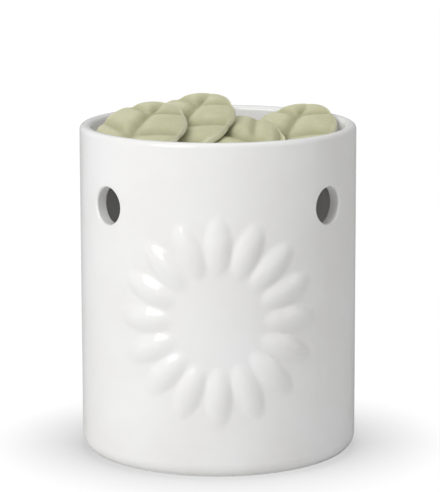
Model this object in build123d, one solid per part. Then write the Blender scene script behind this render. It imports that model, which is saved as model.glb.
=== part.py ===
from build123d import *
import os
from math import cos, pi, radians, sin, sqrt, tan

# Wax melt warmer heated by a tea light. Millimetres, +Z up, origin at the centre of the foot,
# front towards -Y. The ceramic body is one slip-cast piece: a cylinder with the wax dish cast into
# its top, a chamber for the tea light under the dish, two vents at the front and a doorway at the back.

# Body
BODY_DIAMETER = 90.0
BODY_HEIGHT = 107.5
WALL = 3.7
LIP_ROUND = 1.6
FOOT_ROUND = 5.0
FOOT_RING_WIDTH = 5.0
FOOT_RECESS = 1.8
FOOT_EDGE_ROUND = 0.7
FLOOR = 5.2
CHAMBER_CORNER = 4.0

# Wax dish, a shallow bowl whose floor is also the chamber's ceiling
DISH_DEPTH = 11.4
DISH_SAG = 2.4
DISH_FLOOR = 3.4
DISH_CORNER = 6.0
CEILING_CORNER = 1.2

# Vents, just under the ceiling, at an angle to each side of the front
VENT_DIAMETER = 12.0
VENT_ANGLE = 51.5
VENT_BELOW_CEILING = 1.6
VENT_ROUND = 0.9

# Tea light: a thin cup with a rolled rim, filled with wax round a wick on its sustainer
CUP_DIAMETER = 38.0
CUP_HEIGHT = 16.0
CUP_WALL = 0.4
CUP_BEAD = 1.2
CUP_CORNER = 1.2
FILL_DEPTH = 13.0
FILL_MENISCUS = 0.7
FILL_MENISCUS_WIDTH = 1.4
FILL_CLEARANCE = 0.05
SUSTAINER_DIAMETER = 15.0
SUSTAINER_SHEET = 0.4
SUSTAINER_NECK_DIAMETER = 3.2
SUSTAINER_NECK_HEIGHT = 5.0
WICK_DIAMETER = 1.8
WICK_ABOVE_FILL = 9.0
WICK_LEAN = 1.5

# Doorway at the back, with room at each side of the tea light
DOOR_SIDE_ROOM = 4.2
DOOR_HEIGHT = 52.0
DOOR_CORNER = 3.5
DOOR_ROUND = 1.2

# Rosette in low relief on the front: a ring of convex petals round a plain centre
PETALS = 16
ROSETTE_DIAMETER = 67.0
ROSETTE_CENTRE_DIAMETER = 30.0
ROSETTE_RISE = 1.0
PETAL_RELIEF = 1.4
PETAL_SUNK = 3.0
PETAL_GAP = 0.9

# Leaf-shaped wax melts, with scalloped edges and grooves for veins
LEAF_LENGTH = 32.5
LEAF_WIDTH = 28.3
LEAF_THICKNESS = 4.8
LEAF_CROWN = 2.8
LEAF_OVATE = 0.02
LEAF_LOBES = 4
LOBE_DEPTH = 1.8
NOTCH_ROUND = 1.0
TIP_ROUND = 3.0
LEAF_ROUND = 1.4
MIDRIB_WIDTH = 2.8
MIDRIB_DEPTH = 0.85
VEIN_WIDTH = 2.2
VEIN_DEPTH = 0.6
VEIN_ANGLE = 64.0
VEIN_OVERRUN = 1.4
VEIN_FROM_MIDRIB = 0.55

# Pile of melts in the dish. All lean back by one tilt, so each slides out along the others.
# From the lowest up: name, how far the middle lies to the right and to the back, as shares of the
# reach that the dish's wall leaves a melt, sideways roll, and turn of the midrib.
PILE_TILT = 23.7
PILE_CLEARANCE = 0.3
PILE = [
    ("leaf_melt_4", 0.98, 0.33, 11.6, 68.301),
    ("leaf_melt_3", 0.229, -0.086, 6.3, 149.4),
    ("leaf_melt_2", -0.355, 0.165, 9.8, 64.7),
    ("leaf_melt_1", -0.983, -0.232, 8.3, 62.7),
]

# Points at which a leaf's seat is tried, as rings of steps from base to tip on each side
SEAT_RINGS = 10
SEAT_STEPS = 24

# How near to the wall's outside an edge lies that counts as on it
ON_WALL = 0.01

STANDING = (Align.CENTER, Align.CENTER, Align.MIN)

body_radius = BODY_DIAMETER / 2
inner_radius = body_radius - WALL
chamber_floor = FOOT_RECESS + FLOOR
dish_edge = BODY_HEIGHT - DISH_DEPTH
ceiling_edge = dish_edge - DISH_FLOOR
vent_height = ceiling_edge - VENT_BELOW_CEILING - VENT_DIAMETER / 2
cup_radius = CUP_DIAMETER / 2
door_width = CUP_DIAMETER + 2 * (CUP_BEAD - CUP_WALL + DOOR_SIDE_ROOM)
rosette_height = (chamber_floor + ceiling_edge) / 2 + ROSETTE_RISE
petal_length = (ROSETTE_DIAMETER - ROSETTE_CENTRE_DIAMETER) / 2
petal_ring = (ROSETTE_DIAMETER + ROSETTE_CENTRE_DIAMETER) / 4
petal_width = 2 * pi * petal_ring / PETALS - PETAL_GAP
pile_reach = inner_radius - LEAF_LENGTH / 2
crown_radius = ((LEAF_LENGTH / 2) ** 2 + LEAF_CROWN**2) / (2 * LEAF_CROWN)
crown_centre = LEAF_THICKNESS - crown_radius


def round_corners(section, corners):
    """Rounds the corners of a flat section, given as pairs of a point and a radius."""
    for point, radius in corners:
        section = fillet(section.vertices().sort_by_distance(point)[0], radius)
    return section


def outer_rim(body, middle, reach):
    """The edges that a cut leaves on the outside of the wall, within reach of its middle."""
    rim = []
    for edge in body.edges():
        points = [edge.position_at(share) for share in (0, 0.5, 1)]
        on_wall = all(abs(sqrt(p.X**2 + p.Y**2) - body_radius) < ON_WALL for p in points)
        if on_wall and all((p - middle).length < reach for p in points):
            rim.append(edge)
    return rim


def body_shell():
    """The wall, foot, chamber and dish, as one turned section."""
    ring_inner = body_radius - FOOT_ROUND - FOOT_RING_WIDTH
    outside = Polyline(
        (0, FOOT_RECESS),
        (ring_inner, FOOT_RECESS),
        (ring_inner, 0),
        (body_radius, 0),
        (body_radius, BODY_HEIGHT),
        (inner_radius, BODY_HEIGHT),
        (inner_radius, dish_edge),
    )
    dish = TangentArc((0, dish_edge - DISH_SAG), (inner_radius, dish_edge), tangent=(1, 0))
    dish_middle = Line((0, dish_edge - DISH_SAG), (0, ceiling_edge - DISH_SAG))
    ceiling = TangentArc((0, ceiling_edge - DISH_SAG), (inner_radius, ceiling_edge), tangent=(1, 0))
    inside = Polyline(
        (inner_radius, ceiling_edge),
        (inner_radius, chamber_floor),
        (0, chamber_floor),
        (0, FOOT_RECESS),
    )
    section = round_corners(
        make_face([outside, dish, dish_middle, ceiling, inside]),
        [
            ((ring_inner, FOOT_RECESS), FOOT_EDGE_ROUND),
            ((ring_inner, 0), FOOT_EDGE_ROUND),
            ((body_radius, 0), FOOT_ROUND),
            ((body_radius, BODY_HEIGHT), LIP_ROUND),
            ((inner_radius, BODY_HEIGHT), LIP_ROUND),
            ((inner_radius, dish_edge), DISH_CORNER),
            ((inner_radius, ceiling_edge), CEILING_CORNER),
            ((inner_radius, chamber_floor), CHAMBER_CORNER),
        ],
    )
    return revolve(Plane.XZ * section, Axis.Z)


def cut_doorway(body):
    """Cuts the arched doorway through the back wall, level with the chamber's floor."""
    spring = chamber_floor + DOOR_HEIGHT - door_width / 2
    upright = Pos(0, (chamber_floor + spring) / 2) * Rectangle(door_width, spring - chamber_floor)
    arch = upright + Pos(0, spring) * Circle(door_width / 2)
    arch = fillet(arch.vertices().group_by(Axis.Y)[0], DOOR_CORNER)
    body = body - extrude(Plane.XZ * arch, amount=-BODY_DIAMETER)
    middle = Vector(0, body_radius, chamber_floor + DOOR_HEIGHT / 2)
    return fillet(outer_rim(body, middle, DOOR_HEIGHT / 2 + door_width / 4), DOOR_ROUND)


def cut_vents(body):
    """Drills the two round vents, well past both faces of the wall, and softens their outer edges."""
    for angle in (radians(-VENT_ANGLE), radians(VENT_ANGLE)):
        outward = Vector(sin(angle), -cos(angle), 0)
        mouth = outward * body_radius + Vector(0, 0, vent_height)
        bore = Plane(origin=mouth, z_dir=outward) * Cylinder(VENT_DIAMETER / 2, 4 * WALL)
        body = body - bore
        body = fillet(outer_rim(body, mouth, VENT_DIAMETER), VENT_ROUND)
    return body


def lens_radius(half, round_wall):
    """Radius of a petal's lens along one of its axes, so that its foot lies half that axis away on the wall.

    The share of the axis that runs round the wall, and not up it, falls away with the wall.
    """
    fall = (half * round_wall) ** 2 / (2 * body_radius)
    return half / sqrt(1 - ((PETAL_SUNK - fall) / (PETAL_SUNK + PETAL_RELIEF)) ** 2)


def petal(angle):
    """One convex petal, a lens laid on the front wall at an angle round the rosette's centre."""
    lens = scale(
        Rot(Y=90) * Sphere(1),
        by=(
            lens_radius(petal_length / 2, cos(angle)),
            lens_radius(petal_width / 2, sin(angle)),
            PETAL_SUNK + PETAL_RELIEF,
        ),
    )
    wall_turn = petal_ring * cos(angle) / body_radius
    outward = Vector(sin(wall_turn), -cos(wall_turn), 0)
    lengthways = Vector(cos(wall_turn), sin(wall_turn), 0) * cos(angle) + Vector(0, 0, sin(angle))
    middle = outward * body_radius + Vector(0, 0, rosette_height + petal_ring * sin(angle))
    placed = Plane(origin=middle, x_dir=lengthways, z_dir=outward) * Pos(0, 0, -PETAL_SUNK) * lens
    return placed - Cylinder(body_radius - WALL / 2, BODY_HEIGHT, align=STANDING)


def warmer_body():
    """The whole ceramic piece, with the rosette raised on its front."""
    body = cut_vents(cut_doorway(body_shell()))
    return body + [petal(2 * pi * count / PETALS) for count in range(PETALS)]


def tealight_cup():
    """Drawn cup: thin wall, rounded base and a rolled bead round the rim."""
    bead_height = CUP_HEIGHT - CUP_BEAD / 2
    inside = cup_radius - CUP_WALL
    section = make_face(
        Polyline(
            (0, 0),
            (cup_radius, 0),
            (cup_radius, bead_height),
            (inside, bead_height),
            (inside, CUP_WALL),
            (0, CUP_WALL),
            close=True,
        )
    )
    section = round_corners(
        section, [((cup_radius, 0), CUP_CORNER), ((inside, CUP_WALL), CUP_CORNER - CUP_WALL)]
    )
    section = section + Pos(inside + CUP_BEAD / 2, bead_height) * Circle(CUP_BEAD / 2)
    return revolve(Plane.XZ * section, Axis.Z)


def wick_sustainer():
    """Pressed disc on the cup's floor, with a neck that grips the wick."""
    disc = Cylinder(SUSTAINER_DIAMETER / 2, SUSTAINER_SHEET, align=STANDING)
    neck = Cylinder(SUSTAINER_NECK_DIAMETER / 2, SUSTAINER_NECK_HEIGHT, align=STANDING)
    bore = Cylinder(WICK_DIAMETER / 2 + FILL_CLEARANCE, SUSTAINER_NECK_HEIGHT, align=STANDING)
    return Pos(0, 0, CUP_WALL) * (disc + Pos(0, 0, SUSTAINER_SHEET) * (neck - bore))


def wick():
    """Braided wick, upright in the wax and leaning a little above it."""
    foot = CUP_WALL + SUSTAINER_SHEET
    bend = CUP_WALL + FILL_DEPTH + FILL_MENISCUS
    tip = CUP_WALL + FILL_DEPTH + WICK_ABOVE_FILL
    upright = Line((0, 0, foot), (0, 0, bend))
    leaning = TangentArc((0, 0, bend), (WICK_LEAN, 0, tip), tangent=(0, 0, 1))
    return sweep(Pos(0, 0, foot) * Circle(WICK_DIAMETER / 2), path=upright + leaning)


def tealight_wax():
    """Wax poured round the wick and its sustainer, drawn up a little where it meets the cup."""
    fill_radius = cup_radius - CUP_WALL - FILL_CLEARANCE
    fill_top = CUP_WALL + FILL_DEPTH
    wet_edge = (fill_radius, fill_top + FILL_MENISCUS)
    flat_edge = (fill_radius - FILL_MENISCUS_WIDTH, fill_top)
    sides = Polyline((0, fill_top), (0, CUP_WALL), (fill_radius, CUP_WALL), wet_edge)
    drawn_up = TangentArc(flat_edge, wet_edge, tangent=(1, 0))
    section = make_face([sides, drawn_up, Line((0, fill_top), flat_edge)])
    section = round_corners(section, [((fill_radius, CUP_WALL), CUP_CORNER)])
    wax = revolve(Plane.XZ * section, Axis.Z)
    for diameter, height in (
        (SUSTAINER_DIAMETER, SUSTAINER_SHEET),
        (SUSTAINER_NECK_DIAMETER, SUSTAINER_SHEET + SUSTAINER_NECK_HEIGHT),
        (WICK_DIAMETER, CUP_HEIGHT),
    ):
        pocket = Cylinder(diameter / 2 + FILL_CLEARANCE, height + FILL_CLEARANCE, align=STANDING)
        wax = wax - Pos(0, 0, CUP_WALL) * pocket
    return wax


def half_width(x):
    """Half the leaf's width between its notches, at a place along its midrib."""
    share = -2 * x / LEAF_LENGTH
    return LEAF_WIDTH / 2 * sqrt(max(0, 1 - share**2)) * (1 + LEAF_OVATE * share)


def notch(step, side):
    """A point on the egg-shaped line that the leaf's notches lie on, counted from its base."""
    x = -LEAF_LENGTH / 2 * cos(pi * step / LEAF_LOBES)
    return (x, side * half_width(x))


def leaf_blank():
    """A leaf with no veins, its tip towards +X: flat below and crowned above."""
    scallops = [
        SagittaArc(notch(step, side), notch(step + 1, side), side * LOBE_DEPTH)
        for side in (-1, 1)
        for step in range(LEAF_LOBES)
    ]
    outline = make_face(scallops)
    ends = outline.vertices().sort_by(Axis.X)
    outline = fillet([ends[0], ends[-1]], TIP_ROUND)
    crown = Pos(0, 0, crown_centre) * Rot(X=90) * Sphere(crown_radius)
    blank = extrude(outline, LEAF_THICKNESS) & crown
    notches = blank.edges().filter_by(Axis.Z).filter_by_position(
        Axis.X, -LEAF_LENGTH / 2 + TIP_ROUND, LEAF_LENGTH / 2 - TIP_ROUND
    )
    return fillet(notches, NOTCH_ROUND)


def vein(start, end, width, depth):
    """A round-bottomed groove over the crown, from one point of the plan to another."""
    groove_radius = ((width / 2) ** 2 + depth**2) / (2 * depth)
    rays = [Vector(x, y, sqrt(crown_radius**2 - x**2 - y**2)) for x, y in (start, end)]
    sweep_plane = Plane(origin=(0, 0, crown_centre), x_dir=rays[0], z_dir=rays[0].cross(rays[1]))
    section = Plane.XZ * Pos(crown_radius + groove_radius - depth, 0) * Circle(groove_radius)
    return sweep_plane * revolve(section, Axis.Z, revolution_arc=rays[0].get_angle(rays[1]))


def leaf_melt():
    """The moulded leaf: rounded round its top, with a midrib and side veins that run to the notches."""
    blank = leaf_blank()
    top = blank.faces().filter_by(GeomType.SPHERE)[0]
    leaf = fillet(top.edges(), LEAF_ROUND)
    past_end = LEAF_LENGTH / 2 + MIDRIB_WIDTH
    leaf = leaf - vein((-past_end, 0), (past_end, 0), MIDRIB_WIDTH, MIDRIB_DEPTH)
    for side in (-1, 1):
        for step in range(1, LEAF_LOBES):
            x, y = notch(step, side)
            beside_midrib = side * VEIN_FROM_MIDRIB
            start = (x - abs(y - beside_midrib) / tan(radians(VEIN_ANGLE)), beside_midrib)
            end = (x + VEIN_OVERRUN / tan(radians(VEIN_ANGLE)), y + side * VEIN_OVERRUN)
            leaf = leaf - vein(start, end, VEIN_WIDTH, VEIN_DEPTH)
    return leaf


def dish_height(radius):
    """Height of the dish's inside, or of its lip, at a distance from the body's axis."""
    if radius > inner_radius - PILE_CLEARANCE:
        return BODY_HEIGHT
    bowl_radius = (inner_radius**2 + DISH_SAG**2) / (2 * DISH_SAG)
    bowl = dish_edge - DISH_SAG + bowl_radius - sqrt(bowl_radius**2 - radius**2)
    into_corner = max(0, radius - inner_radius + DISH_CORNER)
    return bowl + DISH_CORNER - sqrt(DISH_CORNER**2 - into_corner**2)


def room_below(upper, piled):
    """The least upright room from a leaf's flat underside to the dish and to the leaves already piled."""
    plan = []
    for share in range(1, SEAT_RINGS + 1):
        for step in range(SEAT_STEPS + 1):
            x, y = notch(LEAF_LOBES * step / SEAT_STEPS, 1)
            reach = share / SEAT_RINGS + LOBE_DEPTH / LEAF_LENGTH
            plan.extend([(x * reach, y * reach), (x * reach, -y * reach)])
    rooms = []
    for x, y in plan:
        low = upper.from_local_coords(Vector(x, y, 0))
        rooms.append(low.Z - dish_height(sqrt(low.X**2 + low.Y**2)))
        crown = crown_centre + sqrt(crown_radius**2 - x**2 - y**2)
        for lower in piled:
            high = lower.from_local_coords(Vector(x, y, crown))
            rise = (upper.origin - high).dot(upper.z_dir) / upper.z_dir.Z
            under = upper.to_local_coords(high + Vector(0, 0, rise))
            if abs(under.X) < LEAF_LENGTH / 2 and abs(under.Y) < half_width(under.X) + LOBE_DEPTH:
                rooms.append(rise)
    return min(rooms)


parts = {"warmer_body": warmer_body()}

on_chamber_floor = Pos(0, 0, chamber_floor)
parts["tealight_cup"] = on_chamber_floor * tealight_cup()
parts["tealight_wax"] = on_chamber_floor * tealight_wax()
parts["wick_sustainer"] = on_chamber_floor * wick_sustainer()
parts["wick"] = on_chamber_floor * wick()

melt = leaf_melt()
piled = []
for name, right, back, roll, turn in PILE:
    above_dish = Pos(right * pile_reach, back * pile_reach, BODY_HEIGHT + LEAF_LENGTH)
    held_above = above_dish * Rot(X=PILE_TILT) * Rot(Y=-roll) * Rot(Z=turn)
    fall = room_below(Plane(held_above), piled) - PILE_CLEARANCE
    seated = Pos(0, 0, -fall) * held_above
    piled.append(Plane(seated))
    parts[name] = seated * melt

os.makedirs("parts", exist_ok=True)
for name, shape in parts.items():
    export_step(shape, f"parts/{name}.step")
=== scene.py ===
from math import atan2, cos, pi, radians, sin, sqrt, tan

import bmesh
import bpy
from mathutils import Euler, Matrix, Vector


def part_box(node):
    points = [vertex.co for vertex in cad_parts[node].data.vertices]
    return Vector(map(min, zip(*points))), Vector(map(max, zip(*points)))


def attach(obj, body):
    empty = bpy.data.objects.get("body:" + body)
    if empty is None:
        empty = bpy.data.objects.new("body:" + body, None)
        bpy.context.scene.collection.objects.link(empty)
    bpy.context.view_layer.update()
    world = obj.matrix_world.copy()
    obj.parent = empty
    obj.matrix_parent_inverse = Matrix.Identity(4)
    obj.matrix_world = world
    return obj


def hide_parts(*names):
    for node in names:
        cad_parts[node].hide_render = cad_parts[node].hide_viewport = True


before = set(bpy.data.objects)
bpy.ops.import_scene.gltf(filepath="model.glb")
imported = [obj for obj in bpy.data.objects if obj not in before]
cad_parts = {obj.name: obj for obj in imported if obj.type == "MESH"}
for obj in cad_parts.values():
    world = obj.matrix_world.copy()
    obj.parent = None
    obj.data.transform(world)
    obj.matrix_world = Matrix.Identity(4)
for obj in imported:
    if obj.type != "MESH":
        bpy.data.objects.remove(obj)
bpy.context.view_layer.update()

# Body. One slip-cast earthenware piece: an upright wall with the wax dish cast into its top and a
# chamber for the tea light below. It is bisque fired, dipped in white gloss glaze with the foot ring
# wiped bare, and fired again. The rosette is raised on the mould, so the glaze rounds its feet.
mm = 0.001
body_radius = 45 * mm
body_height = 107.5 * mm
wall = 3.7 * mm
lip_round = 1.6 * mm
dish_depth = 11.4 * mm
dish_thickness = 3.4 * mm
dish_sag = 2.4 * mm
dish_round = 6 * mm
foot_round = 5 * mm
foot_recess = 1.8 * mm
ring_width = 5 * mm
ring_round = 0.7 * mm
base_thickness = 5.2 * mm
inner_radius = body_radius - wall
ring_inner = body_radius - foot_round - ring_width
dish_floor = body_height - dish_depth
ceiling = dish_floor - dish_thickness
chamber_floor = foot_recess + base_thickness
wall_columns = 180
hair = 0.02 * mm


def select(piece, kind, chosen):
    """Selects the vertices, edges or faces of the piece being edited whose points all pass a test."""
    bpy.ops.mesh.select_mode(type=kind)
    bpy.ops.mesh.select_all(action="DESELECT")
    shape = bmesh.from_edit_mesh(piece.data)
    if kind == "VERT":
        for vert in shape.verts:
            vert.select_set(chosen(vert.co))
    else:
        for item in shape.edges if kind == "EDGE" else shape.faces:
            item.select_set(all(chosen(vert.co) for vert in item.verts))
    bmesh.update_edit_mesh(piece.data)


def from_axis(point):
    """How far a point lies from the body's upright axis."""
    return sqrt(point.x**2 + point.y**2)


def round_ring(piece, radius, height, offset, steps):
    """Rounds the ring of edges at a radius and height."""
    select(piece, "EDGE", lambda p: abs(from_axis(p) - radius) < hair and abs(p.z - height) < hair)
    bpy.ops.mesh.bevel(offset=offset, segments=steps, profile=0.5, affect="EDGES", clamp_overlap=False)


def sink_bowl(rim):
    """Insets the selected round face ring by ring and lowers each ring along the dish's curve."""
    bowl = (inner_radius**2 + dish_sag**2) / (2 * dish_sag)
    ring, drop = rim, 0
    for share in (0.83, 0.66, 0.5, 0.34, 0.18, 0.06):
        bpy.ops.mesh.inset(thickness=ring - rim * share)
        ring = rim * share
        lower = dish_sag - bowl + sqrt(bowl**2 - ring**2)
        bpy.ops.transform.translate(value=(0, 0, drop - lower))
        drop = lower


def start(name, adder, **sizes):
    """Adds a primitive with nothing else selected, names it and goes into edit mode."""
    bpy.ops.object.select_all(action="DESELECT")
    adder(**sizes)
    piece = bpy.context.object
    piece.name = piece.data.name = name
    bpy.ops.object.transform_apply(location=True, rotation=True, scale=True)
    bpy.ops.object.mode_set(mode="EDIT")
    return piece


def turned_blank(name, radius, foot, top):
    """A plain cylinder from one height to another, ready for shaping."""
    return start(name, bpy.ops.mesh.primitive_cylinder_add, vertices=wall_columns, radius=radius,
                 depth=top - foot, location=(0, 0, (top + foot) / 2))


body = turned_blank("glazed_body", body_radius, 0, body_height)
select(body, "FACE", lambda p: p.z > body_height - hair)
bpy.ops.mesh.inset(thickness=wall)
bpy.ops.mesh.extrude_region_move(TRANSFORM_OT_translate={"value": (0, 0, dish_floor - body_height)})
sink_bowl(inner_radius)
select(body, "FACE", lambda p: p.z < hair)
bpy.ops.mesh.inset(thickness=body_radius - ring_inner)
bpy.ops.mesh.extrude_region_move(TRANSFORM_OT_translate={"value": (0, 0, foot_recess)})
round_ring(body, body_radius, body_height, lip_round, 6)
round_ring(body, inner_radius, body_height, lip_round, 6)
round_ring(body, inner_radius, dish_floor, dish_round, 8)
round_ring(body, body_radius, 0, foot_round, 10)
round_ring(body, ring_inner, 0, ring_round, 3)
round_ring(body, ring_inner, foot_recess, ring_round, 3)

# The front of the wall is divided finely where the rosette stands, and its points are pushed out.
petals = 16
petal_ring = 24.25 * mm
petal_length = 18.5 * mm
petal_width = 8.62 * mm
petal_relief = 1.4 * mm
petal_foot = 0.3
rosette_height = 50.85 * mm
field_turn = radians(44)
field_reach = 35.2 * mm
field_low = rosette_height - field_reach
field_high = rosette_height + field_reach
row_cuts = 139
column_cuts = 2


def in_field(point):
    """Whether a point of the wall lies in the field that carries the rosette."""
    return (from_axis(point) > body_radius - hair and abs(atan2(point.x, -point.y)) < field_turn + hair
            and field_low - hair < point.z < field_high + hair)


def divide_field(upright, cuts):
    """Divides the field's upright edges, or its level ones."""
    select(body, "EDGE", in_field)
    field = bmesh.from_edit_mesh(body.data)
    for edge in field.edges:
        level = abs(edge.verts[0].co.z - edge.verts[1].co.z) < hair
        if level == upright:
            edge.select_set(False)
    bmesh.update_edit_mesh(body.data)
    bpy.ops.mesh.subdivide(number_cuts=cuts)


def petal_height(round_wall, up):
    """How far the glaze stands out at a place on the wall, measured from the rosette's centre."""
    out = sqrt(round_wall**2 + up**2)
    pitch = 2 * pi / petals
    turn = atan2(up, round_wall)
    aside = turn - pitch * round(turn / pitch)
    along = (out * cos(aside) - petal_ring) / (petal_length / 2)
    across = out * sin(aside) / (petal_width / 2)
    swell = 1 - along**2 - across**2
    if swell > petal_foot:
        return petal_relief * swell
    return petal_relief * max(0, swell + petal_foot) ** 2 / (4 * petal_foot)


for height in (field_low, field_high):
    select(body, "FACE", lambda p: from_axis(p) > body_radius - hair and foot_round - hair < p.z
           and abs(atan2(p.x, -p.y)) < field_turn + hair)
    bpy.ops.mesh.bisect(plane_co=(0, 0, height), plane_no=(0, 0, 1))
divide_field(True, row_cuts)
divide_field(False, column_cuts)
shape = bmesh.from_edit_mesh(body.data)
for vert in shape.verts:
    if in_field(vert.co):
        raised = petal_height(atan2(vert.co.x, -vert.co.y) * body_radius, vert.co.z - rosette_height)
        vert.co.xy *= (body_radius + raised) / from_axis(vert.co)
bmesh.update_edit_mesh(body.data)
bpy.ops.object.mode_set(mode="OBJECT")


def cut(piece, cutter):
    """Takes a cutter's volume out of a piece, and the cutter away."""
    bpy.ops.object.mode_set(mode="OBJECT")
    bpy.ops.object.select_all(action="DESELECT")
    bpy.context.view_layer.objects.active = piece
    piece.select_set(True)
    hollow = piece.modifiers.new("hollow", "BOOLEAN")
    hollow.object = cutter
    hollow.operation = "DIFFERENCE"
    hollow.solver = "MANIFOLD"
    bpy.ops.object.modifier_apply(modifier=hollow.name)
    bpy.data.objects.remove(cutter)


# The chamber under the dish, where the slip was poured out, with the dish's own curve for its ceiling.
ceiling_round = 1.2 * mm
chamber_round = 4 * mm
chamber = turned_blank("chamber", inner_radius, chamber_floor, ceiling)
select(chamber, "FACE", lambda p: p.z > ceiling - hair)
sink_bowl(inner_radius)
round_ring(chamber, inner_radius, ceiling, ceiling_round, 4)
round_ring(chamber, inner_radius, chamber_floor, chamber_round, 6)
cut(body, chamber)

# Each opening's cutter widens in steps where it meets the wall, which leaves a rounded edge there.
flare_turns = (14, 28, 42, 56, 70)
flare_clear = 0.8 * mm
past_wall = 12 * mm


def widen(step, half_width, half_height, growth, grown, centre):
    """Draws the selected end of a cutter out by a step and widens it all round by what it has yet to grow."""
    bpy.ops.mesh.extrude_region_move(TRANSFORM_OT_translate={"value": (0, step, 0)})
    wider = (half_width + growth) / (half_width + grown)
    taller = (half_height + growth) / (half_height + grown)
    bpy.ops.transform.resize(value=(wider, 1, taller), center_override=centre)


def flare_mouth(cutter, half_width, half_height, centre, rounding):
    """Flares the selected end of a cutter, for a rounded edge, and bends it round the wall."""
    depth = grown = 0
    for turn in flare_turns:
        reach = rounding * sin(radians(turn))
        growth = rounding * (1 - cos(radians(turn)))
        widen(reach - depth, half_width, half_height, growth, grown, centre)
        depth, grown = reach, growth
    growth = grown + flare_clear * tan(radians(flare_turns[-1]))
    widen(flare_clear, half_width, half_height, growth, grown, centre)
    bpy.ops.mesh.extrude_region_move(TRANSFORM_OT_translate={"value": (0, past_wall, 0)})
    shape = bmesh.from_edit_mesh(cutter.data)
    for vert in shape.verts:
        if -hair < vert.co.y < depth + flare_clear + hair:
            vert.co.y += sqrt(body_radius**2 - vert.co.x**2) - depth
        else:
            vert.co.y += body_radius
    bmesh.update_edit_mesh(cutter.data)
    bpy.ops.object.mode_set(mode="OBJECT")


# The doorway at the back, as wide as a tea light and the fingers round it, and arched.
door_half = 24 * mm
door_height = 52 * mm
door_round = 1.2 * mm
door_run = 25 * mm
sill_round = 3.5 * mm
sill = chamber_floor - 2 * hair
door_centre = (0, 0, sill + door_height / 2)
doorway = start("doorway", bpy.ops.mesh.primitive_plane_add, size=1, rotation=(-pi / 2, 0, 0),
                location=door_centre)
bpy.ops.mesh.select_all(action="SELECT")
bpy.ops.transform.resize(value=(2 * door_half, 1, door_height), center_override=door_centre)
select(doorway, "VERT", lambda p: p.z > sill + door_height - hair)
bpy.ops.mesh.bevel(offset=door_half - hair, segments=28, affect="VERTICES", clamp_overlap=False)
select(doorway, "VERT", lambda p: p.z < sill + hair)
bpy.ops.mesh.bevel(offset=sill_round, segments=6, affect="VERTICES", clamp_overlap=False)
bpy.ops.mesh.select_mode(type="FACE")
bpy.ops.mesh.select_all(action="SELECT")
bpy.ops.transform.translate(value=(0, -door_run, 0))
bpy.ops.mesh.extrude_region_move(TRANSFORM_OT_translate={"value": (0, door_run, 0)})
flare_mouth(doorway, door_half, door_height / 2, door_centre, door_round)
cut(body, doorway)

# The two vents at the front, drilled while the clay is leather hard and sponged round.
vent_radius = 6 * mm
vent_round = 0.9 * mm
vent_run = 8 * mm
under_ceiling = 1.6 * mm
vent_height = ceiling - under_ceiling - vent_radius
for vent_turn in (-51.5, 51.5):
    vent = start("vent", bpy.ops.mesh.primitive_circle_add, vertices=64, radius=vent_radius,
                 fill_type="NGON", rotation=(-pi / 2, 0, 0), location=(0, 0, vent_height))
    bpy.ops.mesh.select_mode(type="FACE")
    bpy.ops.mesh.select_all(action="SELECT")
    bpy.ops.transform.translate(value=(0, -vent_run, 0))
    bpy.ops.mesh.extrude_region_move(TRANSFORM_OT_translate={"value": (0, vent_run, 0)})
    flare_mouth(vent, vent_radius, vent_radius, (0, 0, vent_height), vent_round)
    vent.data.transform(Matrix.Rotation(pi + radians(vent_turn), 4, "Z"))
    cut(body, vent)


def finish_normals(piece, angle):
    """Shades a piece smooth up to an angle, with large faces setting the normals."""
    bpy.ops.object.select_all(action="DESELECT")
    bpy.context.view_layer.objects.active = piece
    piece.select_set(True)
    bpy.ops.object.shade_smooth_by_angle(angle=radians(angle))
    weighted = piece.modifiers.new("weighted", "WEIGHTED_NORMAL")
    weighted.keep_sharp = True
    bpy.ops.object.modifier_apply(modifier=weighted.name)


finish_normals(body, 32)


def colour(code):
    """An sRGB hex colour as linear red, green, blue and alpha."""
    shares = [int(code[place:place + 2], 16) / 255 for place in (1, 3, 5)]
    return [s / 12.92 if s <= 0.04045 else ((s + 0.055) / 1.055) ** 2.4 for s in shares] + [1]


def add_node(material, kind, links=(), **settings):
    """Adds a node with its settings. A link is an input's name or number and the socket that feeds it."""
    tree = material.node_tree
    node = tree.nodes.new("ShaderNode" + kind)
    for name, value in settings.items():
        if name == "inputs":
            for socket, content in value.items():
                node.inputs[socket].default_value = content
        else:
            setattr(node, name, value)
    for socket, source in links:
        tree.links.new(source, node.inputs[socket])
    return node


def start_material(name):
    """A new material, its shader and the piece's own coordinates."""
    material = bpy.data.materials.new(name)
    material.use_nodes = True
    shader = material.node_tree.nodes["Principled BSDF"]
    place = add_node(material, "TexCoord").outputs["Object"]
    return material, shader, place


# White gloss glaze over earthenware: a clear, slightly wavy gloss over a soft white, a little warmer
# where the glaze is thin, and rough pale clay where the foot ring was wiped.
glaze, shader, place = start_material("white_gloss_glaze")
waves_size = 9 * mm
waves = add_node(glaze, "TexNoise", [("Vector", place)],
                 inputs={"Scale": 1 / waves_size, "Detail": 2.0, "Roughness": 0.45})
cloud_size = 26 * mm
clouds = add_node(glaze, "TexNoise", [("Vector", place)], inputs={"Scale": 1 / cloud_size, "Detail": 3.0})
tint = add_node(glaze, "ValToRGB", [("Fac", clouds.outputs["Fac"])])
tint.color_ramp.elements[0].position = 0.3
tint.color_ramp.elements[0].color = colour("#E9E8E6")
tint.color_ramp.elements[1].position = 0.7
tint.color_ramp.elements[1].color = colour("#EEEEEE")
height_above_floor = add_node(glaze, "SeparateXYZ", [("Vector", place)]).outputs["Z"]
wiped = add_node(glaze, "MapRange", [("Value", height_above_floor)],
                 inputs={"From Min": 0.15 * mm, "From Max": 0.4 * mm, "To Min": 1.0, "To Max": 0.0})
grit_size = 0.5 * mm
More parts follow.
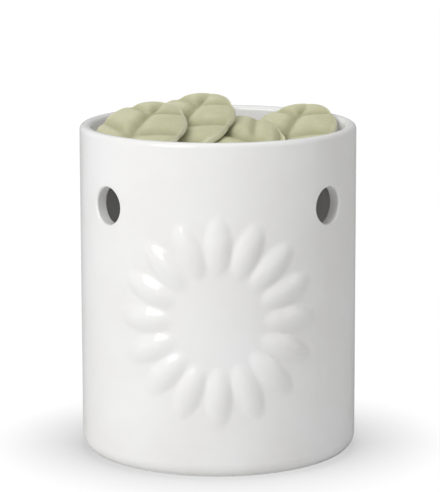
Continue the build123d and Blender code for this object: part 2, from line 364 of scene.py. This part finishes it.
grit = add_node(glaze, "TexNoise", [("Vector", place)], inputs={"Scale": 1 / grit_size, "Detail": 2.0})
clay = add_node(glaze, "ValToRGB", [("Fac", grit.outputs["Fac"])])
clay.color_ramp.elements[0].color = colour("#CFC4B2")
clay.color_ramp.elements[1].color = colour("#E2DACC")
skin = add_node(glaze, "Mix", [("Factor", wiped.outputs["Result"]), (6, tint.outputs["Color"]),
                               (7, clay.outputs["Color"])], data_type="RGBA")
gloss = add_node(glaze, "MapRange", [("Value", waves.outputs["Fac"])],
                 inputs={"To Min": 0.13, "To Max": 0.19})
rough = add_node(glaze, "Mix", [("Factor", wiped.outputs["Result"]), (2, gloss.outputs["Result"])],
                 inputs={3: 0.85})
ripple = add_node(glaze, "Bump", [("Height", waves.outputs["Fac"])],
                  inputs={"Strength": 0.25, "Distance": 0.06 * mm})
glaze.node_tree.links.new(skin.outputs[2], shader.inputs["Base Color"])
glaze.node_tree.links.new(rough.outputs[0], shader.inputs["Roughness"])
glaze.node_tree.links.new(ripple.outputs["Normal"], shader.inputs["Normal"])
shader.inputs["IOR"].default_value = 1.5
body.data.materials.clear()
body.data.materials.append(glaze)
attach(body, "warmer")
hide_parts("warmer_body")

# Tea light. A drawn aluminium cup with a rolled rim, filled with white paraffin round a braided
# cotton wick that a pressed, tinned steel disc holds upright on the cup's floor.
# Drawn aluminium: bright and a little soft, with upright lines from the die, drawn coarse enough to show.
aluminium, shader, place = start_material("drawn_aluminium")
draw_lines = 0.35 * mm
drawn = add_node(aluminium, "Mapping", [("Vector", place)], inputs={"Scale": (1, 1, 0.08)})
lines = add_node(aluminium, "TexNoise", [("Vector", drawn.outputs["Vector"])],
                 inputs={"Scale": 1 / draw_lines, "Detail": 2.0})
metal = add_node(aluminium, "ValToRGB", [("Fac", lines.outputs["Fac"])])
metal.color_ramp.elements[0].color = colour("#D3D5D8")
metal.color_ramp.elements[1].color = colour("#E6E8EA")
sheen = add_node(aluminium, "MapRange", [("Value", lines.outputs["Fac"])],
                 inputs={"To Min": 0.22, "To Max": 0.36})
aluminium.node_tree.links.new(metal.outputs["Color"], shader.inputs["Base Color"])
aluminium.node_tree.links.new(sheen.outputs["Result"], shader.inputs["Roughness"])
shader.inputs["Metallic"].default_value = 1.0
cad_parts["tealight_cup"].material_slots[0].material = aluminium

# Poured paraffin: cloudy white, half gloss, with light soaking into its skin.
paraffin, shader, place = start_material("poured_paraffin")
bloom_size = 3 * mm
bloom = add_node(paraffin, "TexNoise", [("Vector", place)], inputs={"Scale": 1 / bloom_size, "Detail": 4.0})
white_wax = add_node(paraffin, "ValToRGB", [("Fac", bloom.outputs["Fac"])])
white_wax.color_ramp.elements[0].color = colour("#ECE8DE")
white_wax.color_ramp.elements[1].color = colour("#F6F4EE")
set_wax = add_node(paraffin, "Bump", [("Height", bloom.outputs["Fac"])],
                   inputs={"Strength": 0.3, "Distance": 0.1 * mm})
paraffin.node_tree.links.new(white_wax.outputs["Color"], shader.inputs["Base Color"])
paraffin.node_tree.links.new(set_wax.outputs["Normal"], shader.inputs["Normal"])
shader.inputs["Roughness"].default_value = 0.42
shader.inputs["IOR"].default_value = 1.43
shader.inputs["Subsurface Weight"].default_value = 0.35
shader.inputs["Subsurface Radius"].default_value = (1.0, 0.8, 0.6)
shader.inputs["Subsurface Scale"].default_value = 2 * mm
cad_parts["tealight_wax"].material_slots[0].material = paraffin

# Tinned steel sheet: a dull silver with a faint crystal grain.
tinplate, shader, place = start_material("tinned_steel_sheet")
grain_size = 0.6 * mm
grain = add_node(tinplate, "TexNoise", [("Vector", place)], inputs={"Scale": 1 / grain_size, "Detail": 3.0})
tin = add_node(tinplate, "ValToRGB", [("Fac", grain.outputs["Fac"])])
tin.color_ramp.elements[0].color = colour("#B4B6B8")
tin.color_ramp.elements[1].color = colour("#CDCFD0")
tinplate.node_tree.links.new(tin.outputs["Color"], shader.inputs["Base Color"])
shader.inputs["Metallic"].default_value = 1.0
shader.inputs["Roughness"].default_value = 0.35
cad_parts["wick_sustainer"].material_slots[0].material = tinplate

# Waxed cotton: cream strands that slant round the wick, dark between.
cotton, shader, place = start_material("waxed_cotton_braid")
plait = 0.9 * mm
slant = add_node(cotton, "Mapping", [("Vector", place)], inputs={"Rotation": (0, radians(40), 0)})
strands = add_node(cotton, "TexWave", [("Vector", slant.outputs["Vector"])], bands_direction="Z",
                   inputs={"Scale": 2 * pi / (20 * plait), "Distortion": 0.6})
yarn = add_node(cotton, "ValToRGB", [("Fac", strands.outputs["Fac"])])
yarn.color_ramp.elements[0].color = colour("#BDB39C")
yarn.color_ramp.elements[1].color = colour("#EDE7D8")
braid = add_node(cotton, "Bump", [("Height", strands.outputs["Fac"])],
                 inputs={"Strength": 0.6, "Distance": 0.15 * mm})
cotton.node_tree.links.new(yarn.outputs["Color"], shader.inputs["Base Color"])
cotton.node_tree.links.new(braid.outputs["Normal"], shader.inputs["Normal"])
shader.inputs["Roughness"].default_value = 0.7
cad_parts["wick"].material_slots[0].material = cotton

# Leaf melts. Four scented wax leaves poured in one mould: scalloped round the edge, crowned above,
# with a soft valley for the midrib and narrow creases for the veins. They lie loose on each other.
leaf_length = 32.5 * mm
leaf_width = 28.3 * mm
leaf_thickness = 4.8 * mm
leaf_crown = 2.8 * mm
leaf_ovate = 0.02
lobes = 4
lobe_depth = 1.8 * mm
vein_lean = radians(64)
edge_round = 1.6 * mm
edge_height = 1.7 * mm
midrib_depth = 2 * mm
midrib_reach = 4.2 * mm
vein_depth = 1.5 * mm
vein_reach = 3 * mm
tip_fade = 6 * mm
painted_edge_light_width = 1.2 * mm
vein_begin = 0.3
edge_steps = 24
grid_rows = 12
grid_columns = 32


def notch(step, side):
    """A point on the egg-shaped line that the leaf's notches lie on, counted in lobes from its base."""
    share = cos(pi * step / lobes)
    half = leaf_width / 2 * sqrt(max(0, 1 - share**2)) * (1 + leaf_ovate * share)
    return Vector((-leaf_length / 2 * share, side * half, 0))


def scallop(step, side):
    """A point on the leaf's scalloped edge, counted in lobes from its base."""
    lobe = min(int(step), lobes - 1)
    first, last = notch(lobe, side), notch(lobe + 1, side)
    half_chord = (last - first).length / 2
    arc = (half_chord**2 + lobe_depth**2) / (2 * lobe_depth)
    along = (2 * (step - lobe) - 1) * half_chord
    outward = Vector((first.y - last.y, last.x - first.x, 0)).normalized() * side
    return first.lerp(last, step - lobe) + outward * (sqrt(arc**2 - along**2) - arc + lobe_depth)


def vein_root(step):
    """Where the vein that runs to a notch leaves the midrib."""
    if step in (0, lobes):
        return notch(step, 1)
    end = notch(step, 1)
    return Vector((end.x - end.y / tan(vein_lean), 0, 0))


def leaf_plan(step, share):
    """A point of the leaf, counted in lobes from its base and from the midrib to the edge, which is 1."""
    side = -1 if share < 0 else 1
    lobe = min(int(step), lobes - 1)
    root = vein_root(lobe).lerp(vein_root(lobe + 1), step - lobe)
    return root.lerp(scallop(step, side), abs(share))


def off_line(point, first, last):
    """A point's distance from a straight line between two others."""
    run = last - first
    share = max(0, min(1, (point - first).dot(run) / run.length_squared))
    return (point - first - run * share).length


leaf_edge = [scallop(step / edge_steps, side) for side in (-1, 1) for step in range(edge_steps * lobes + 1)]


def groove_depth(point):
    """How deep the midrib's valley and the veins' creases lie at a point of the leaf."""
    before_tip = max(0, min(1, (leaf_length / 2 - point.x) / tip_fade))
    depth = midrib_depth * before_tip * max(0, 1 - abs(point.y) / midrib_reach) ** 2
    for step in range(1, lobes):
        root, end = vein_root(step), notch(step, 1 if point.y > 0 else -1)
        beside_midrib = min(1, abs(point.y) / (vein_begin * abs(end.y)))
        depth += vein_depth * beside_midrib * max(0, 1 - off_line(point, root, end) / vein_reach) ** 2
    return depth


def from_edge(point):
    """How far inside the leaf's edge a point lies."""
    return min((point - edge).length for edge in leaf_edge)


def leaf_top(point):
    """Height of the leaf's upper side: its crown, less the grooves, and rounded at its edge."""
    crown = leaf_thickness - leaf_crown * (point.x**2 + point.y**2) / (leaf_length / 2) ** 2
    height = crown - groove_depth(point)
    inside = from_edge(point)
    if inside < edge_round:
        height = edge_height + (height - edge_height) * sqrt(1 - (1 - inside / edge_round) ** 2)
    return height


leaf = start("leaf_melt", bpy.ops.mesh.primitive_grid_add, size=2, x_subdivisions=grid_rows * lobes,
             y_subdivisions=grid_columns)
shape = bmesh.from_edit_mesh(leaf.data)
for vert in shape.verts:
    spot = leaf_plan((vert.co.x + 1) / 2 * lobes, vert.co.y)
    vert.co = (spot.x, spot.y, leaf_top(spot))
bmesh.update_edit_mesh(leaf.data)
bpy.ops.mesh.select_all(action="SELECT")
bpy.ops.mesh.extrude_region_move(TRANSFORM_OT_translate={"value": (0, 0, -leaf_thickness)})
bpy.ops.transform.resize(value=(1, 1, 0), center_override=(0, 0, 0))
bpy.ops.mesh.select_all(action="SELECT")
bpy.ops.mesh.remove_doubles(threshold=hair)
bpy.ops.mesh.normals_make_consistent(inside=False)
bpy.ops.object.mode_set(mode="OBJECT")
rounded = leaf.modifiers.new("rounded", "SUBSURF")
rounded.levels = rounded.render_levels = 1
bpy.ops.object.modifier_apply(modifier=rounded.name)
bpy.ops.object.shade_smooth()
# The leaves' painted light, kept per point: painted shade that darkens the grooves, and a painted highlight
# along the edge.
painted_shade_and_edge_light = leaf.data.attributes.new("painted_shade_and_edge_light", "FLOAT", "POINT")
for vert in leaf.data.vertices:
    spot = Vector((vert.co.x, vert.co.y, 0))
    painted_groove_shade = min(1, groove_depth(spot) / midrib_depth)
    painted_shade_and_edge_light.data[vert.index].value = 0.5 - painted_groove_shade / 2 + max(0, 1 - from_edge(spot) / painted_edge_light_width) / 2

# Scented wax, poured and demoulded: matte, slightly translucent sage green with a fine grain, with painted
# shade that makes it deeper in the grooves and a painted highlight that makes it paler along the thin edge.
wax, shader, place = start_material("sage_scented_wax")
mottle_size = 5 * mm
mottle = add_node(wax, "TexNoise", [("Vector", place)],
                  inputs={"Scale": 1 / mottle_size, "Detail": 6.0, "Roughness": 0.78})
patchy = add_node(wax, "MapRange", [("Value", mottle.outputs["Fac"])],
                  inputs={"To Min": -0.28, "To Max": 0.28})
painted_light_attribute = add_node(wax, "Attribute", attribute_name="painted_shade_and_edge_light")
painted_light_and_mottle = add_node(wax, "Math", [(0, painted_light_attribute.outputs["Fac"]), (1, patchy.outputs["Result"])], operation="ADD")
# The ramp's dark end is painted shade for the grooves, and its pale end is a painted highlight for the edge.
sage_with_painted_light = add_node(wax, "ValToRGB", [("Fac", painted_light_and_mottle.outputs[0])])
sage_with_painted_light.color_ramp.elements[0].color = colour("#A2A17F")
sage_with_painted_light.color_ramp.elements.new(0.5).color = colour("#BFBE9D")
sage_with_painted_light.color_ramp.elements[2].color = colour("#DEDDC3")
wax_grain = 0.7 * mm
fine = add_node(wax, "TexNoise", [("Vector", place)], inputs={"Scale": 1 / wax_grain, "Detail": 3.0})
grainy = add_node(wax, "Bump", [("Height", fine.outputs["Fac"])],
                  inputs={"Strength": 0.7, "Distance": 0.14 * mm})
wax.node_tree.links.new(sage_with_painted_light.outputs["Color"], shader.inputs["Base Color"])
wax.node_tree.links.new(grainy.outputs["Normal"], shader.inputs["Normal"])
shader.inputs["Roughness"].default_value = 0.62
shader.inputs["IOR"].default_value = 1.43
shader.inputs["Subsurface Weight"].default_value = 0.25
shader.inputs["Subsurface Radius"].default_value = (1.0, 0.9, 0.5)
shader.inputs["Subsurface Scale"].default_value = 1.2 * mm
leaf.data.materials.append(wax)

# All four lean back by one tilt. Each has its place right and back, its sideways roll and its turn.
pile_tilt = 23.7
pile_reach = inner_radius - leaf_length / 2
pile = (
    ("1", -0.983, -0.232, 8.3, 62.7),
    ("2", -0.355, 0.165, 9.8, 64.7),
    ("3", 0.229, -0.086, 6.3, 149.4),
    ("4", 0.98, 0.33, 11.6, 68.3),
)
for number, right, back, roll, turn in pile:
    melt = bpy.data.objects.new("wax_leaf_" + number, leaf.data.copy())
    melt.data.name = melt.name
    bpy.context.scene.collection.objects.link(melt)
    lean = (Matrix.Rotation(radians(pile_tilt), 4, "X") @ Matrix.Rotation(radians(-roll), 4, "Y")
            @ Matrix.Rotation(radians(turn), 4, "Z"))
    melt.data.transform(lean)
    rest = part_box("leaf_melt_" + number)[0].z - min(vert.co.z for vert in melt.data.vertices)
    melt.data.transform(Matrix.Translation((right * pile_reach, back * pile_reach, rest)))
    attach(melt, "melt_" + number)
    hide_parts("leaf_melt_" + number)
bpy.data.meshes.remove(leaf.data)

# Floor. A white paper sweep. Seen from the camera, or in a gloss, it is white where nothing stands near,
# and a painted shadow darkens it softly towards the foot, less in front, where the key light falls. Other
# light falls on it as on plain paper.
bpy.ops.object.select_all(action="DESELECT")
bpy.ops.mesh.primitive_plane_add(size=6)
floor = bpy.context.object
floor.name = "floor"
paper, shader, place = start_material("white_paper")
fibre_size = 2 * mm
fibres = add_node(paper, "TexNoise", [("Vector", place)], inputs={"Scale": 1 / fibre_size, "Detail": 3.0})
pulp = add_node(paper, "ValToRGB", [("Fac", fibres.outputs["Fac"])])
pulp.color_ramp.elements[0].color = colour("#EDEDED")
pulp.color_ramp.elements[1].color = colour("#F1F1F1")
shader.inputs["Roughness"].default_value = 0.9
shader.inputs["Specular IOR Level"].default_value = 0.0


def background_rays(tree):
    """Where a ray comes from the camera, or by way of a gloss or clear glass, which show it too."""
    rays = add_node(tree, "LightPath").outputs
    plain = add_node(tree, "Math", [(0, rays["Is Camera Ray"]), (1, rays["Is Glossy Ray"])],
                     operation="MAXIMUM")
    clear = add_node(tree, "Math", [(0, plain.outputs[0]), (1, rays["Is Transmission Ray"])],
                     operation="MAXIMUM")
    return clear.outputs[0]


seen = background_rays(paper)
dimmed = add_node(paper, "Mix", [("Factor", seen), (6, pulp.outputs["Color"])], data_type="RGBA",
                  inputs={7: colour("#464646")})
paper.node_tree.links.new(dimmed.outputs[2], shader.inputs["Base Color"])
shade_reach = 38 * mm
# Painted shadow: the floor's glow is darkened near the body by how much nearby things hide of the room, and
# the darkest it goes is lighter in front and deeper behind.
painted_contact_shadow = add_node(paper, "AmbientOcclusion", inputs={"Distance": shade_reach})
from_front = add_node(paper, "SeparateXYZ", [("Vector", place)]).outputs["Y"]
darkest_painted_shadow = add_node(paper, "MapRange", [("Value", from_front)],
                   inputs={"From Min": -body_radius, "From Max": 0.0, "To Min": 0.74, "To Max": 0.56})
shade = add_node(paper, "MapRange", [("Value", painted_contact_shadow.outputs["AO"]), ("To Min", darkest_painted_shadow.outputs["Result"])],
                 inputs={"From Min": 0.5})
white_level = 0.97
white = add_node(paper, "Math", [(0, seen)], operation="MULTIPLY", inputs={1: white_level})
glow = add_node(paper, "Math", [(0, white.outputs[0]), (1, shade.outputs["Result"])], operation="MULTIPLY")
paper.node_tree.links.new(glow.outputs[0], shader.inputs["Emission Strength"])
shader.inputs["Emission Color"].default_value = colour("#FFFFFF")
floor.data.materials.append(paper)

# Grey boards. One stands and one lies on the floor to each side behind the body, out of the picture, and a
# low one stands further back. Only the glaze shows them, as darker edges, which part white ware from a
# white ground.
card, shader, place = start_material("grey_card")
felt = add_node(card, "TexNoise", [("Vector", place)], inputs={"Scale": 1 / fibre_size})
grey = add_node(card, "ValToRGB", [("Fac", felt.outputs["Fac"])])
grey.color_ramp.elements[0].color = colour("#B0B0B0")
grey.color_ramp.elements[1].color = colour("#B8B8B8")
card.node_tree.links.new(grey.outputs["Color"], shader.inputs["Base Color"])
shader.inputs["Roughness"].default_value = 1.0
shader.inputs["Specular IOR Level"].default_value = 0.0
for name, spot, tilt, turn, width, length in (
    ("standing_board_left", (-0.298, 0.298, 0.3), 90, 45, 0.6, 0.6),
    ("standing_board_right", (0.298, 0.298, 0.3), 90, -45, 0.6, 0.6),
    ("lying_board_left", (-0.178, 0.178, mm), 0, 45, 0.6, 0.38),
    ("lying_board_right", (0.178, 0.178, mm), 0, -45, 0.6, 0.38),
    ("low_board_behind", (0, 0.7, 0.08), 90, 0, 0.9, 0.16),
):
    bpy.ops.object.select_all(action="DESELECT")
    bpy.ops.mesh.primitive_plane_add(size=1, location=spot, rotation=(radians(tilt), 0, radians(turn)),
                                     scale=(width, length, 1))
    board = bpy.context.object
    board.name = name
    board.data.materials.append(card)
    board.visible_camera = board.visible_diffuse = False
    board.visible_transmission = board.visible_shadow = False

# Light. A large softbox at the front left, weak ones above and behind, a faint fill from the right and an
# even pale room.
world = bpy.data.worlds.new("room")
bpy.context.scene.world = world
world.use_nodes = True
room = world.node_tree.nodes["Background"]
brightness = add_node(world, "MapRange", [("Value", background_rays(world))],
                      inputs={"To Min": 0.42, "To Max": 1.0})
world.node_tree.links.new(brightness.outputs["Result"], room.inputs["Strength"])
room.inputs["Color"].default_value = colour("#FFFFFF")


def softbox(name, spot, aim, width, height, power):
    """A soft rectangular lamp at a place, turned to a point."""
    lamp = bpy.data.lights.new(name, "AREA")
    lamp.shape = "RECTANGLE"
    lamp.size, lamp.size_y, lamp.energy = width, height, power
    holder = bpy.data.objects.new(name, lamp)
    bpy.context.scene.collection.objects.link(holder)
    holder.location = spot
    holder.rotation_euler = (Vector(aim) - Vector(spot)).to_track_quat("-Z", "Y").to_euler()


softbox("key", (-0.7, -0.8, 0.75), (0, 0, 0.05), 0.7, 0.9, 9.0)
softbox("fill", (0.9, -0.5, 0.5), (0, 0, 0.05), 0.4, 0.4, 0.5)
softbox("top", (0.0, 0.1, 1.2), (0, 0, 0.05), 0.9, 0.9, 2.4)
softbox("back", (-0.35, 1.1, 0.8), (0, 0, 0.05), 0.6, 0.6, 3.0)

# Camera. It stands 870 mm from the middle of the body, in front of it and a little above, and looks down on
# it through a long lens.
lens = bpy.data.cameras.new("camera")
lens.lens = 193.5
lens.sensor_width = 36
camera = bpy.data.objects.new("camera", lens)
bpy.context.scene.collection.objects.link(camera)
camera.location = (0, -0.8519, 0.2305)
camera.rotation_euler = Euler((radians(79.12), radians(0.135), radians(-0.065)))
bpy.context.scene.camera = camera
bpy.context.scene.view_settings.view_transform = "Standard"
